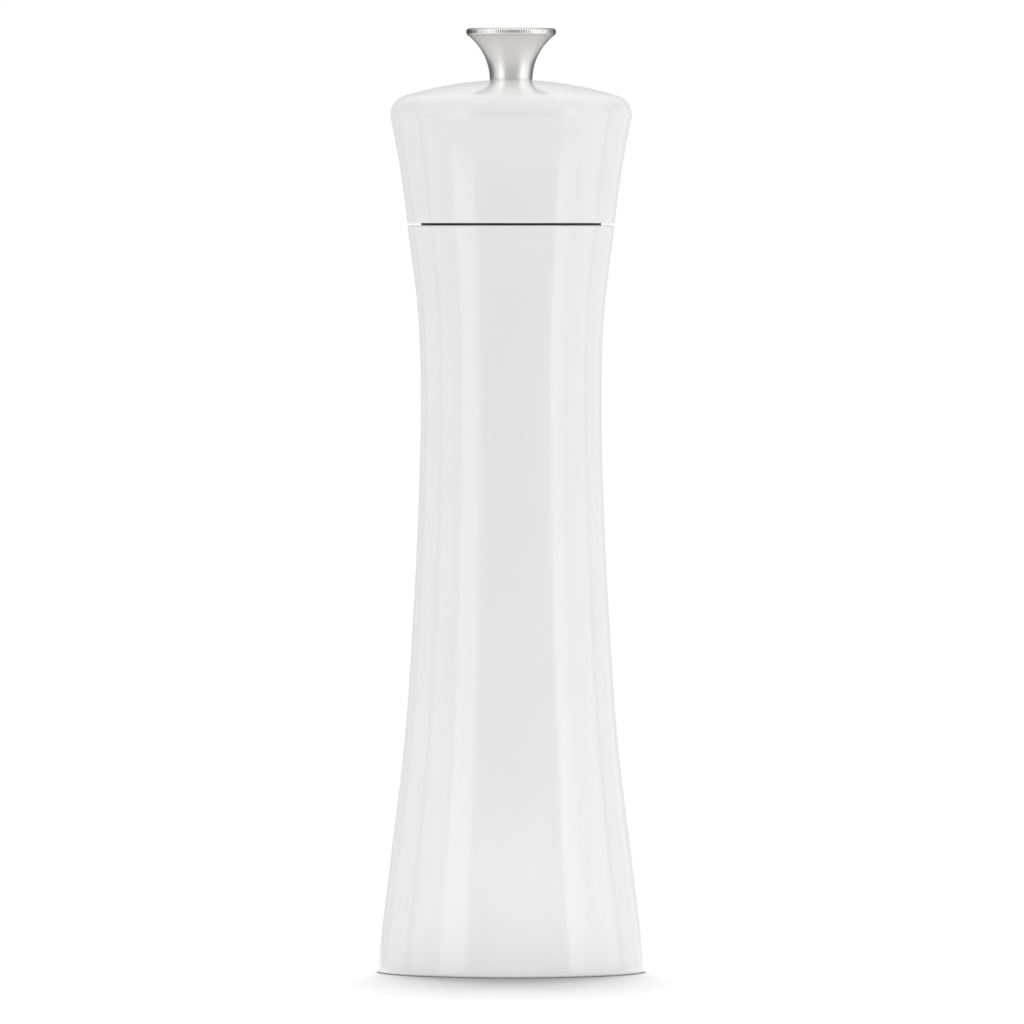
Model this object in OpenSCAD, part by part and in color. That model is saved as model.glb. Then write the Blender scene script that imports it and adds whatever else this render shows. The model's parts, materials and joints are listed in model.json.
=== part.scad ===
// Pepper mill: a hand-turned head drives a ceramic burr set through a square shaft,
// and the knob on top pulls the shaft up to set the grind.
// Millimetres. The origin is the centre of the base on the table, with +Z up.
// The shaft is modelled at its lowest place, which is the coarsest grind.

/* [Body] */
// Height of the body, from the table to the rim of its mouth
body_h = 166; // [160:0.2:172]
// Diameter of the base
base_d = 60; // [59.5:0.5:62]
// Diameter of the waist
waist_d = 40.1; // [39.7:0.1:42]
// Height of the waist above the table
waist_h = 127; // [124:1:130]
// Diameter of the mouth's rim
mouth_d = 46.1; // [45.6:0.1:47.5]
// Wall thickness of the body and the head
wall = 2.6; // [2.5:0.05:2.7]

/* [Head] */
// Gap between the body and the head, in which the collar shows
seam_gap = 0.5; // [0.4:0.1:1.2]
// Height of the head, from the seam to the top of its crown
head_h = 31.9; // [31:0.1:34]
// Diameter of the head's lower rim
head_d = 46.1; // [45.8:0.1:47.5]
// Largest diameter of the head, just below the crown
head_max_d = 53.6; // [52.6:0.2:56]
// Radius of the crown's arc
crown_r = 80; // [74:1:95]
// Radius of the rounded edge between the head's side and its crown
crown_edge_r = 4.5; // [4:0.1:5]
// Lean of the head's side where it meets the rounded edge, in degrees
head_lean = 12; // [10:0.5:14]
// Depth to which the head's spigot reaches into the mouth
spigot_h = 8.5; // [7:0.5:9]

/* [Knob] */
// Height of the knob
knob_h = 11.5; // [11.2:0.1:13]
// Diameter of the knob's knurled rim
knob_d = 19.9; // [19.5:0.1:22]
// Diameter of the stem at the knob's foot
stem_d = 9.5; // [9.4:0.1:10.4]
// Thickness of the knurled rim
rim_t = 1.5; // [1.4:0.05:2.2]
// Number of knurls round the rim
knurl_count = 120; // [80:2:140]

/* [Burrs] */
// Largest radius of the rotor
rotor_r = 14.1; // [13.7:0.1:14.2]
// Gap between the burrs at the coarsest grind, measured across
coarse_gap = 0.85; // [0.75:0.05:1.1]
// Height of the burrs
burr_h = 12; // [11.6:0.1:12.4]
// Number of fine teeth on each burr
fine_teeth = 32; // [24:2:40]
// Number of coarse grooves on the rotor
coarse_grooves = 8; // [6:1:9]

/* [Shaft and spring] */
// Side of the square shaft
shaft_w = 5; // [4.8:0.1:5.2]
// Height of the square part's top above the table
square_top = 191; // [189:0.5:191]
// Travel of the shaft from the coarsest to the finest grind
shaft_travel = 1.6; // [1.2:0.1:1.8]
// Height of the spring at the coarsest grind
spring_h = 8; // [7.8:0.1:8.4]
// Diameter of the spring's wire
wire_d = 0.7; // [0.6:0.05:0.75]

/* [Hidden] */
$fn = 96;

// Small lengths that several parts share
edge_r = 0.5;          // rounding of the shells' free rims
chamfer = 0.6;         // lead-in chamfers
run_fit = 0.06;        // radial clearance of a turning fit
clear_fit = 0.3;       // radial clearance where parts only pass each other
cut = 1;               // how far a cutting solid passes beyond the surface it cuts

// Body outline: shares of the flare, at equal steps of height.
// The first and last value of each list only set the slope at that end.
skirt_shares = [1.17, 1, 0.675, 0.37, 0.19, 0.06, 0, 0.06];   // from the base up to the waist
neck_shares = [0.21, 0, 0.21, 1, 1.97];                       // from the waist up to the mouth

// Mouth and seam
collar_r = 20;
collar_h = 10;
collar_bore_r = 17.6;
collar_z = body_h - collar_h;
head_z = body_h + seam_gap;

// Grinder housing
housing_z = 5;
flange_r = 26;
flange_t = 3;
flange_top = housing_z + flange_t;
cup_bore_r = 17.5;
cup_r = 19.3;
throat_r = 16.4;       // bore above the stator
lock_drop = 0.4;       // how far the lock ring stands below the flange
stator_z = housing_z + 1;
stator_top = stator_z + burr_h;
funnel_z = 31;
funnel_top = 37;
funnel_play = 0.2;     // radial clearance between the funnel and the body
funnel_lip_t = 0.4;
funnel_lip_h = 1.5;
funnel_lip_r = body_radius(funnel_top) - wall - funnel_play;
funnel_r = funnel_lip_r - funnel_lip_t;
hub_r = 7.6;
hub_top = 36;
arm_w = 3.5;
arm_h = 4;
arm_z = 29.5;
arm_end_r = cup_r - 0.7;    // the arms end inside the cup's wall
lug_w = 3;
lug_h = 2;
lug_r = cup_bore_r + 0.8;
lug_root_r = cup_bore_r - 1;

// Screw posts inside the body
post_r = 3;
post_place_r = 22.5;
post_top = 20;
post_angles = [30, 150, 270];
arm_angles = [90, 210, 330];
web_w = 3;
web_cover = 0.25;      // how far the webs stay inside the shell's outer surface

// Fasteners: radius of the head, height of the head, radius of the shank
housing_screw = [2.75, 1.8, 1.45];
core_screw = [2.6, 1.6, 1.25];
plate_screw = [2.2, 1.4, 1.1];
screw_hole_clear = 0.25;
housing_screw_l = 10;
core_screw_l = 14;
plate_screw_l = 4.6;

// Rotor stack, from the table up
rotor_z = 5;
rotor_top = rotor_z + burr_h;
band_h = 4.5;          // height of the fine teeth
band_slope = 0.3;      // loss of radius with height along the fine teeth
fine_gap_r = 0.45;     // radius of the gaps between the fine teeth
fine_twist = 12;       // slant of the fine teeth, in degrees
coarse_gap_r = 1.45;   // radius of the coarse grooves
rotor_twist = 20;      // slant of the rotor's coarse grooves, in degrees
stator_twist = 15;     // slant of the stator's coarse grooves, in degrees
rotor_shoulder_r = 7.8;
recess_r = 7.2;
recess_h = 5;
recess_top = rotor_z + recess_h;
carrier_z = recess_top + 0.2;
carrier_tube_r = 5.5;
key_w = 2.4;
key_r = 6.8;
key_z = recess_top + 2;
carrier_flange_r = 7.6;
carrier_flange_t = 1.2;
carrier_top = rotor_top + carrier_flange_t;
seat_washer_t = 0.6;
washer_r = 7.4;
washer_t = 0.8;
nut_w = 7;
nut_h = recess_h - washer_t;

// Spring and bush
spring_z = carrier_top + seat_washer_t;
spring_mean_r = 5.4;
spring_turns = 5;
dead_turns = 0.6;      // flat turns at each end of the spring
bush_z = spring_z + spring_h;
bush_flange_t = 1.5;
bush_r = 5;
thrust_z = bush_z + bush_flange_t;
thrust_t = 0.6;
hub_z = thrust_z + thrust_t;
bush_top = hub_top + 0.6;
square_play = 0.1;     // play on each side of the shaft in the bush
plate_play = 0.15;     // play on each side of the shaft in the drive plate

// Shaft
corner_r = shaft_w * 0.68;          // the square's corners are turned down to this radius
top_thread_r = 2.5;
top_thread_pitch = 0.8;
foot_thread_r = 2;
foot_thread_pitch = 0.7;
thread_share = 0.55;                // depth of a thread as a share of its pitch
shaft_foot = rotor_z - 0.4;
square_foot = recess_top + 0.5;
clip_t = 0.8;
clip_r = 5.2;
clip_groove_r = shaft_w * 0.55;
clip_mouth_w = clip_groove_r * 1.6;
clip_z = bush_top + 0.4;

// Head
crown_top = head_z + head_h;
head_max_r = head_max_d / 2;
crown_centre = crown_top - crown_r;
edge_centre_r = head_max_r - crown_edge_r;
edge_centre_z = crown_centre + sqrt(pow(crown_r - crown_edge_r, 2) - pow(edge_centre_r, 2));
edge_end = atan2(edge_centre_z - crown_centre, edge_centre_r);
side_top_z = edge_centre_z - crown_edge_r * sin(head_lean);
side_top_r = edge_centre_r + crown_edge_r * cos(head_lean);
side_mid_r = side_top_r - (side_top_z - head_z) / 2 * tan(head_lean);
shaft_hole_r = 2.9;
pad_r = 8;
pad_z = crown_top - 3.9;
pad_top = crown_top - 2.3;
core_r = head_d / 2 - wall - 0.05;
core_t = 3.5;
core_top = head_z + core_t;
core_bore_r = 4.2;
tower_r = 6.6;
spigot_r = collar_bore_r - clear_fit;
spigot_t = 2.4;
core_post_r = 3;
core_post_place = 11.5;
core_post_top = crown_top - 2.9;
plate_l = 25;
plate_w = 11;
plate_t = 1.5;
plate_screw_place = 9;

// Knob and its washer
washer_seat_r = 4.6;
knob_washer_r = washer_seat_r - 0.08;
knob_washer_t = 1;
knob_z = crown_z(washer_seat_r) + 0.03;
knob_top = knob_z + knob_h;
rim_z = knob_top - rim_t;
flare_lip = 0.4;       // step between the flare and the rim
flare_top_r = knob_d / 2 - flare_lip;
flare_h = knob_h - rim_t;
knurl_depth = 0.16;
knob_bore_r = top_thread_r + 0.08;
knob_cap_t = 1.9;
thread_top = knob_top - knob_cap_t - shaft_travel - 1.3;

// Point on a smooth curve through equally spaced values, at a share from 0 to 1
function smooth_blend(a, b, c, d, t) =
  0.5 * (2 * b + (c - a) * t + (2 * a - 5 * b + 4 * c - d) * t * t
    + (3 * b - 3 * c + d - a) * t * t * t);
function smooth_at(values, share) =
  let (steps = len(values) - 3, x = min(max(share, 0), 1) * steps, i = min(floor(x), steps - 1))
  smooth_blend(values[i], values[i + 1], values[i + 2], values[i + 3], x - i);

// Outer radius of the body at a height
function body_radius(z) = z < waist_h
  ? waist_d / 2 + (base_d - waist_d) / 2 * smooth_at(skirt_shares, z / waist_h)
  : waist_d / 2 + (mouth_d - waist_d) / 2 * smooth_at(neck_shares, (z - waist_h) / (body_h - waist_h));

// Height of the crown at a radius
function crown_z(r) = crown_centre + sqrt(pow(crown_r, 2) - pow(r, 2));

// Points of an arc, as [radius, height] pairs
function arc(centre, r, from, to, steps) = [
  for (i = [0:steps]) let (a = from + (to - from) * i / steps)
    [centre[0] + r * cos(a), centre[1] + r * sin(a)]
];

// Radius of the head's side at a share of its height
function side_radius(t) =
  pow(1 - t, 2) * head_d / 2 + 2 * t * (1 - t) * side_mid_r + t * t * side_top_r;

// Half outline of the head, a given depth inside its outer surface
function head_outline(depth, start) = concat(
  [for (i = [0:12]) let (t = start + (1 - start) * i / 12)
    [side_radius(t) - depth, head_z + (side_top_z - head_z) * t]],
  arc([edge_centre_r, edge_centre_z], crown_edge_r - depth, -head_lean, edge_end, 8),
  arc([0, crown_centre], crown_r - depth, edge_end + 1, 90, 8)
);

// Half section of a straight thread, as ring grooves from z0 to z1 with a chamfered end
function thread_section(r, pitch, z0, z1) = let (
  depth = pitch * thread_share,
  count = floor((z1 - z0) / pitch)
) concat(
  [[0, z0], [r - depth, z0]],
  [for (i = [0:count - 1], k = [0:1])
    [r - (k == 0 ? depth : 0), z0 + (i + 0.1 + 0.5 * k) * pitch]],
  [[r - depth, z1], [0, z1]]
);

// A washer or plain ring
module ring(outer_r, inner_r, z, h) {
  rotate_extrude() polygon([[inner_r, z], [outer_r, z], [outer_r, z + h], [inner_r, z + h]]);
}

// An upright square bar or hole, from z0 to z1
module square_bar(w, z0, z1) {
  translate([-w / 2, -w / 2, z0]) cube([w, w, z1 - z0]);
}

// A cross-recessed pan-head screw that points up, with the underside of its head at z
module pan_screw(size, length, z) {
  tip_r = 0.3;
  head_r = size[0];
  head_h = size[1];
  slot_w = head_r * 0.28;
  slot_l = head_r * 1.1;
  slot_depth = head_h * 0.6;
  difference() {
    union() {
      rotate_extrude() polygon([
        [0, z - head_h], [head_r * 0.6, z - head_h], [head_r * 0.9, z - head_h * 0.75],
        [head_r, z - head_h * 0.4], [head_r, z], [0, z]
      ]);
      translate([0, 0, z]) cylinder(r = size[2], h = length - size[2]);
      translate([0, 0, z + length - size[2]]) cylinder(r1 = size[2], r2 = tip_r, h = size[2]);
    }
    for (a = [0, 90]) rotate(a) translate([-slot_l / 2, -slot_w / 2, z - head_h - cut])
      cube([slot_l, slot_w, slot_depth + cut]);
  }
}

// One round-bottomed gap between two teeth that follows a cone's side, at angle a round the burr.
// It leans away from the upright by tilt, and slants round the cone by twist.
module tooth_gap(a, r, z, tilt, twist, gap_r, length) {
  rotate(a) translate([r, 0, z]) rotate([twist, tilt, 0])
    cylinder(r = gap_r, h = length, center = true, $fn = 48);
}

module body_shell() color("white") {
  outer_steps = 44;
  inner_steps = 30;
  outer_top = body_h - edge_r;
  difference() {
    union() {
      rotate_extrude() polygon(concat(
        [[base_d / 2 - wall, 0]],
        arc([body_radius(edge_r) - edge_r, edge_r], edge_r, -90, 0, 3),
        [for (i = [1:outer_steps - 1]) let (z = edge_r + (outer_top - edge_r) * i / outer_steps)
          [body_radius(z), z]],
        arc([body_radius(outer_top) - edge_r, outer_top], edge_r, 0, 90, 3),
        [[collar_r, body_h], [collar_r, collar_z]],
        [for (i = [0:inner_steps - 1]) let (z = collar_z * (1 - i / inner_steps))
          [body_radius(z) - wall, z]]
      ));
      for (a = post_angles) rotate(a) {
        translate([post_place_r, 0, flange_top]) cylinder(r = post_r, h = post_top - flange_top);
        translate([post_place_r, -web_w / 2, flange_top])
          cube([body_radius(post_top) - web_cover - post_place_r, web_w, post_top - flange_top]);
      }
    }
    for (a = post_angles) rotate(a) translate([post_place_r, 0, flange_top - cut])
      cylinder(r = housing_screw[2], h = housing_screw_l);
  }
}

module mouth_collar() color("black") {
  rotate_extrude() polygon([
    [collar_bore_r, collar_z], [collar_r, collar_z], [collar_r, head_z],
    [collar_bore_r + chamfer, head_z], [collar_bore_r, head_z - chamfer]
  ]);
}

module grinder_housing() color("dimgray") {
  difference() {
    union() {
      rotate_extrude() polygon([
        [cup_bore_r, housing_z], [flange_r, housing_z], [flange_r, flange_top],
        [cup_r, flange_top], [cup_r, funnel_z - 1], [funnel_lip_r, funnel_top - funnel_lip_h],
        [funnel_lip_r, funnel_top], [funnel_r, funnel_top], [throat_r, funnel_z],
        [throat_r, stator_top], [cup_bore_r, stator_top]
      ]);
      difference() {
        union() {
          translate([0, 0, hub_z]) cylinder(r = hub_r, h = hub_top - hub_z);
          for (a = arm_angles) rotate(a) translate([0, -arm_w / 2, arm_z])
            cube([arm_end_r, arm_w, arm_h]);
        }
        translate([0, 0, hub_z - cut]) cylinder(r = bush_r + run_fit, h = hub_top - hub_z + 2 * cut);
      }
    }
    for (a = post_angles) rotate(a) translate([post_place_r, 0, housing_z - cut])
      cylinder(r = housing_screw[2] + screw_hole_clear, h = flange_t + 2 * cut);
    for (a = arm_angles) rotate(a) translate([lug_root_r - cut, -lug_w / 2, housing_z - cut])
      cube([lug_r - lug_root_r + cut, lug_w, stator_z + lug_h - housing_z + cut]);
  }
}

module housing_screws() color("silver") {
  for (a = post_angles) rotate(a) translate([post_place_r, 0, 0])
    pan_screw(housing_screw, housing_screw_l, housing_z);
}

module stator_burr() color("ivory") {
  band_top = stator_z + band_h - 0.5;
  foot_r = rotor_r - band_slope * (stator_z - rotor_z) + coarse_gap;
  band_top_r = foot_r - band_slope * (band_top - stator_z);
  mouth_r = throat_r - 1;
  stator_grooves = coarse_grooves + 4;
  difference() {
    union() {
      rotate_extrude() polygon([
        [foot_r, stator_z], [cup_bore_r, stator_z], [cup_bore_r, stator_top],
        [mouth_r, stator_top], [band_top_r, band_top]
      ]);
      for (a = arm_angles) rotate(a) translate([lug_root_r, -lug_w / 2, stator_z])
        cube([lug_r - lug_root_r, lug_w, lug_h]);
    }
    for (i = [0:fine_teeth - 1])
      tooth_gap(i * 360 / fine_teeth, (foot_r + band_top_r) / 2, (stator_z + band_top) / 2,
        -atan(band_slope), fine_twist, fine_gap_r, band_h * 1.3);
    for (i = [0:stator_grooves - 1])
      tooth_gap(i * 360 / stator_grooves, (mouth_r + band_top_r) / 2 + 0.3,
        (band_top + stator_top) / 2, atan((mouth_r - band_top_r) / (stator_top - band_top)),
        stator_twist, coarse_gap_r, burr_h * 0.85);
  }
}

module stator_lock_ring() color("dimgray") {
  lock_z = housing_z - lock_drop;
  inner_r = rotor_r + 1.3;
  notch_w = 2.4;
  notch_h = 0.8;
  notch_depth = 0.9;
  difference() {
    ring(cup_bore_r, inner_r, lock_z, stator_z - lock_z);
    for (a = [0:90:270]) rotate(a) translate([inner_r - cut, -notch_w / 2, lock_z - cut])
      cube([notch_depth + cut, notch_w, notch_h + cut]);
  }
}

module drive_bush() color("whitesmoke") {
  difference() {
    union() {
      translate([0, 0, bush_z]) cylinder(r = washer_r, h = bush_flange_t);
      translate([0, 0, bush_z]) cylinder(r = bush_r, h = bush_top - bush_z);
    }
    square_bar(shaft_w + 2 * square_play, bush_z - cut, bush_top + cut);
  }
}

module thrust_washer() color("ivory") {
  ring(washer_r, bush_r + run_fit, thrust_z, thrust_t);
}

// Height of the spring wire's centre at a share of its length: flat at both ends
function spring_rise(share) = let (
  dead = dead_turns / spring_turns,
  t = min(max((share - dead) / (1 - 2 * dead), 0), 1)
) spring_z + wire_d / 2 + (spring_h - wire_d) * t;

module spring() color("silver") {
  turn_steps = 18;
  sides = 6;
  steps = turn_steps * spring_turns;
  points = [for (i = [0:steps], k = [0:sides - 1]) let (
    share = i / steps,
    turn = 360 * spring_turns * share,
    a = 360 * k / sides,
    r = spring_mean_r + wire_d / 2 * sin(a)
  ) [r * cos(turn), r * sin(turn), spring_rise(share) + wire_d / 2 * cos(a)]];
  walls = [for (i = [0:steps - 1], k = [0:sides - 1]) let (j = (k + 1) % sides)
    [i * sides + k, i * sides + j, (i + 1) * sides + j, (i + 1) * sides + k]];
  polyhedron(
    points = points,
    faces = concat(walls, [[for (k = [sides - 1:-1:0]) k], [for (k = [0:sides - 1]) steps * sides + k]])
  );
}

module drive_shaft() color("silver") {
  difference() {
    intersection() {
      square_bar(shaft_w, square_foot, square_top);
      translate([0, 0, square_foot]) cylinder(r = corner_r, h = square_top - square_foot);
    }
    ring(shaft_w, clip_groove_r, clip_z, clip_t);
  }
  rotate_extrude() polygon(
    thread_section(top_thread_r, top_thread_pitch, square_top, thread_top));
  translate([0, 0, shaft_foot]) cylinder(r = foot_thread_r - foot_thread_pitch * thread_share, h = 1);
  rotate_extrude() polygon(
    thread_section(foot_thread_r, foot_thread_pitch, shaft_foot + 0.3, square_foot));
}

module stop_clip() color("gray") {
  difference() {
    ring(clip_r, clip_groove_r, clip_z, clip_t);
    translate([0, -clip_mouth_w / 2, clip_z - cut]) cube([clip_r + cut, clip_mouth_w, clip_t + 2 * cut]);
  }
}

module rotor_carrier() color("dimgray") {
  difference() {
    union() {
      translate([0, 0, rotor_top]) cylinder(r = carrier_flange_r, h = carrier_flange_t);
      translate([0, 0, carrier_z]) cylinder(r = carrier_tube_r, h = rotor_top - recess_top);
      translate([-key_r, -key_w / 2, key_z]) cube([2 * key_r, key_w, rotor_top - key_z]);
    }
    square_bar(shaft_w, rotor_z, carrier_top + cut);
  }
}

module spring_seat_washer() color("silver") {
  ring(washer_r, corner_r + clear_fit, carrier_top, seat_washer_t);
}

module rotor_burr() color("ivory") {
  band_top = rotor_z + band_h;
  band_top_r = rotor_r - band_slope * band_h;
  upper_h = rotor_top - band_top;
  difference() {
    rotate_extrude() polygon([
      [recess_r, rotor_z], [rotor_r, rotor_z], [band_top_r, band_top],
      [rotor_shoulder_r, rotor_top], [carrier_tube_r, rotor_top],
      [carrier_tube_r, recess_top], [recess_r, recess_top]
    ]);
    translate([-key_r, -key_w / 2, key_z]) cube([2 * key_r, key_w, rotor_top]);
    for (i = [0:fine_teeth - 1])
      tooth_gap((i + 0.5) * 360 / fine_teeth, (rotor_r + band_top_r) / 2, (rotor_z + band_top) / 2,
        -atan(band_slope), -fine_twist, fine_gap_r, band_h * 1.2);
    for (i = [0:coarse_grooves - 1])
      tooth_gap(i * 360 / coarse_grooves, (band_top_r + rotor_shoulder_r) / 2 + 0.2,
        (band_top + rotor_top) / 2, -atan((band_top_r - rotor_shoulder_r) / upper_h),
        -rotor_twist, coarse_gap_r, upper_h * 1.1);
  }
}

module rotor_washer() color("silver") {
  ring(recess_r - 0.4, foot_thread_r + 0.1, recess_top - washer_t, washer_t);
}

module rotor_nut() color("silver") {
  difference() {
    translate([0, 0, rotor_z]) cylinder(d = nut_w / cos(30), h = nut_h, $fn = 6);
    translate([0, 0, rotor_z - cut]) cylinder(r = foot_thread_r, h = nut_h + 2 * cut);
  }
}

module head_shell() color("white") {
  difference() {
    union() {
      rotate_extrude() polygon(concat(
        [[head_d / 2 - wall, head_z], [head_d / 2 - edge_r, head_z]],
        head_outline(0, 0.03),
        [for (p = [len(head_outline(wall, 0)) - 1:-1:1]) head_outline(wall, 0)[p]]
      ));
      translate([0, 0, pad_z]) cylinder(r = pad_r, h = pad_top - pad_z);
      for (s = [-1, 1]) translate([0, s * core_post_place, core_top])
        cylinder(r = core_post_r, h = core_post_top - core_top);
    }
    translate([0, 0, pad_z - cut]) cylinder(r = shaft_hole_r, h = crown_top - pad_z + 2 * cut);
    translate([0, 0, knob_z - knob_washer_t]) cylinder(r = washer_seat_r, h = knob_washer_t + cut);
    for (s = [-1, 1]) translate([0, s * core_post_place, core_top - cut])
      cylinder(r = core_screw[2], h = core_screw_l - core_t + 2 * cut);
  }
}

module head_core() color("black") {
  spigot_z = head_z - spigot_h;
  difference() {
    union() {
      translate([0, 0, head_z]) cylinder(r = core_r, h = core_t);
      translate([0, 0, head_z]) cylinder(r = tower_r, h = pad_z - head_z);
      rotate_extrude() polygon([
        [spigot_r - spigot_t, spigot_z], [spigot_r - chamfer, spigot_z],
        [spigot_r, spigot_z + chamfer], [spigot_r, head_z + 1], [spigot_r - spigot_t, head_z + 1]
      ]);
    }
    translate([0, 0, head_z - cut]) cylinder(r = core_bore_r, h = head_h);
    for (s = [-1, 1]) {
      translate([0, s * core_post_place, head_z - cut])
        cylinder(r = core_screw[2] + screw_hole_clear, h = core_t + 2 * cut);
      translate([s * plate_screw_place, 0, head_z - cut]) cylinder(r = plate_screw[2], h = core_t + 2 * cut);
    }
  }
}

module core_screws() color("silver") {
  for (s = [-1, 1]) translate([0, s * core_post_place, 0]) pan_screw(core_screw, core_screw_l, head_z);
}

module drive_plate() color("silver") {
  difference() {
    intersection() {
      translate([0, 0, head_z - plate_t]) cylinder(r = plate_l / 2, h = plate_t);
      translate([-plate_l, -plate_w / 2, head_z - plate_t]) cube([2 * plate_l, plate_w, plate_t]);
    }
    square_bar(shaft_w + 2 * plate_play, head_z - plate_t - cut, head_z + cut);
    for (s = [-1, 1]) translate([s * plate_screw_place, 0, head_z - plate_t - cut])
      cylinder(r = plate_screw[2] + screw_hole_clear, h = plate_t + 2 * cut);
  }
}

module drive_plate_screws() color("silver") {
  for (s = [-1, 1]) translate([s * plate_screw_place, 0, 0])
    pan_screw(plate_screw, plate_screw_l, head_z - plate_t);
}

module knob_washer() color("whitesmoke") {
  ring(knob_washer_r, shaft_hole_r, knob_z - knob_washer_t, knob_washer_t);
}

module knob() color("silver") {
  // The flare is an arc that leaves the stem upright at the foot and meets the rim's underside
  rise = flare_top_r - stem_d / 2;
  flare_r = (pow(rise, 2) + pow(flare_h, 2)) / (2 * rise);
  flare_end = asin(flare_h / flare_r);
  difference() {
    union() {
      rotate_extrude() polygon(concat(
        [[0, knob_z]],
        arc([stem_d / 2 + flare_r, knob_z], flare_r, 180, 180 - flare_end, 14),
        [[0, rim_z]]
      ));
      translate([0, 0, rim_z]) linear_extrude(rim_t) polygon([
        for (i = [0:2 * knurl_count - 1]) let (
          r = knob_d / 2 - (i % 2) * knurl_depth,
          a = 180 * i / knurl_count
        ) [r * cos(a), r * sin(a)]
      ]);
    }
    translate([0, 0, knob_z - cut]) cylinder(r = knob_bore_r, h = knob_h - knob_cap_t + cut);
  }
}

body_shell();
mouth_collar();
grinder_housing();
housing_screws();
stator_burr();
stator_lock_ring();
drive_bush();
thrust_washer();
spring();
drive_shaft();
stop_clip();
rotor_carrier();
spring_seat_washer();
rotor_burr();
rotor_washer();
rotor_nut();
head_shell();
head_core();
core_screws();
drive_plate();
drive_plate_screws();
knob_washer();
knob();
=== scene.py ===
import json
from math import asin, atan2, ceil, cos, floor, pi, radians, sin, sqrt, tan, tau

import bmesh
import bpy
from mathutils import Matrix, Vector


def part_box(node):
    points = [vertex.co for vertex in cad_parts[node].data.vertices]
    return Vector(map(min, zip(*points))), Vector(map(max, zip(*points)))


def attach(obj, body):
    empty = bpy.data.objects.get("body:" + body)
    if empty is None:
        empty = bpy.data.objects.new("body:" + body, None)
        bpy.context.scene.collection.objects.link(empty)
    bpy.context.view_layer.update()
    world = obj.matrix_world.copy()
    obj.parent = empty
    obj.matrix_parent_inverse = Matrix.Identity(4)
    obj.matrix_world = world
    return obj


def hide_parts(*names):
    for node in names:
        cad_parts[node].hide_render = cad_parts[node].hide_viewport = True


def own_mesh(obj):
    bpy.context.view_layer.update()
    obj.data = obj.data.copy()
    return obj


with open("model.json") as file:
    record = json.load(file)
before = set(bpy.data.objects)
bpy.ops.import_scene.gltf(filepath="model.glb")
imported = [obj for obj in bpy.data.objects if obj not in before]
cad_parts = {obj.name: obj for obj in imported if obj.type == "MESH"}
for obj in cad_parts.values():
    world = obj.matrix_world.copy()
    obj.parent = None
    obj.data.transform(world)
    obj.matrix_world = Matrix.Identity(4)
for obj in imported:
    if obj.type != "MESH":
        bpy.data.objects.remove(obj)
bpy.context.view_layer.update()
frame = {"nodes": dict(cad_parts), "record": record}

# A pepper mill. Lengths are in millimetres in the functions that shape a piece, and MM turns them to metres.
MM = 0.001
SAME_PLACE = 0.001 * MM            # points closer than this count as one
ON_AXIS = 0.000001                 # a smaller radius than this, in millimetres, is a point on the axis

# ---------------------------------------------------------------- sizes, the same as the design's


def box_mm(node):
    """The lowest and highest corner of a CAD node, in millimetres."""
    low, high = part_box(node)
    return low / MM, high / MM


# Shells
WALL = 2.6
EDGE_R = 0.5                       # rounding of the shells' free rims
BODY_H = box_mm("body_shell")[1].z
BASE_R = 30.0
WAIST_R = 20.05
WAIST_Z = 127.0
MOUTH_R = 23.05
# How far the body has widened from its waist, as shares of the whole, at equal steps from the base up to the
# waist and from the waist up to the mouth. The first and last of each row only set the end slopes.
SKIRT_SHARES = (1.17, 1, 0.675, 0.37, 0.19, 0.06, 0, 0.06)
NECK_SHARES = (0.21, 0, 0.21, 1, 1.97)
FOOT_CHAMFER = 0.25
TURN_STEPS = 192                   # facets round a large turned piece

HEAD_Z = box_mm("head_shell")[0].z
CROWN_TOP = 198.4
HEAD_R = 23.05
HEAD_MAX_R = 26.8
CROWN_R = 80.0
CORNER_R = 4.5                     # rounding of the edge between the head's side and its crown
HEAD_LEAN = radians(12)
CROWN_CENTRE = CROWN_TOP - CROWN_R
CORNER_X = HEAD_MAX_R - CORNER_R
CORNER_Z = CROWN_CENTRE + sqrt((CROWN_R - CORNER_R) ** 2 - CORNER_X ** 2)
CORNER_END = atan2(CORNER_Z - CROWN_CENTRE, CORNER_X)
SIDE_TOP_Z = CORNER_Z - CORNER_R * sin(HEAD_LEAN)
SIDE_TOP_R = CORNER_X + CORNER_R * cos(HEAD_LEAN)
SIDE_MID_R = SIDE_TOP_R - (SIDE_TOP_Z - HEAD_Z) / 2 * tan(HEAD_LEAN)

# Screw posts inside the shells
POST_ANGLES = (30, 150, 270)
POST_PLACE = 22.5
POST_R = 3.0
POST_FOOT, POST_TOP = 8.0, 20.0
POST_BORE = 8.0                    # depth of the screw hole in a post of the body
WEB_W = 3.0
WEB_DROP = 0.05                    # how far a web's faces lie inside its post's ends
CORE_POST_PLACE = 11.5
CORE_POST_BORE = 11.5
CORE_TOP = HEAD_Z + 3.5
CORE_POST_TOP = CROWN_TOP - 2.9

# Screws: radius of the head, height of the head, radius and pitch of the thread, length under the head
HOUSING_SCREW = (2.75, 1.8, 1.45, 0.9, 10.0)
CORE_SCREW = (2.6, 1.6, 1.25, 0.8, 14.0)
PLATE_SCREW = (2.2, 1.4, 1.1, 0.7, 4.6)
HOUSING_SCREW_Z = 5.0              # height of the underside of a head
PLATE_SCREW_Z = HEAD_Z - 1.5
PLATE_SCREW_PLACE = 9

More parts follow.
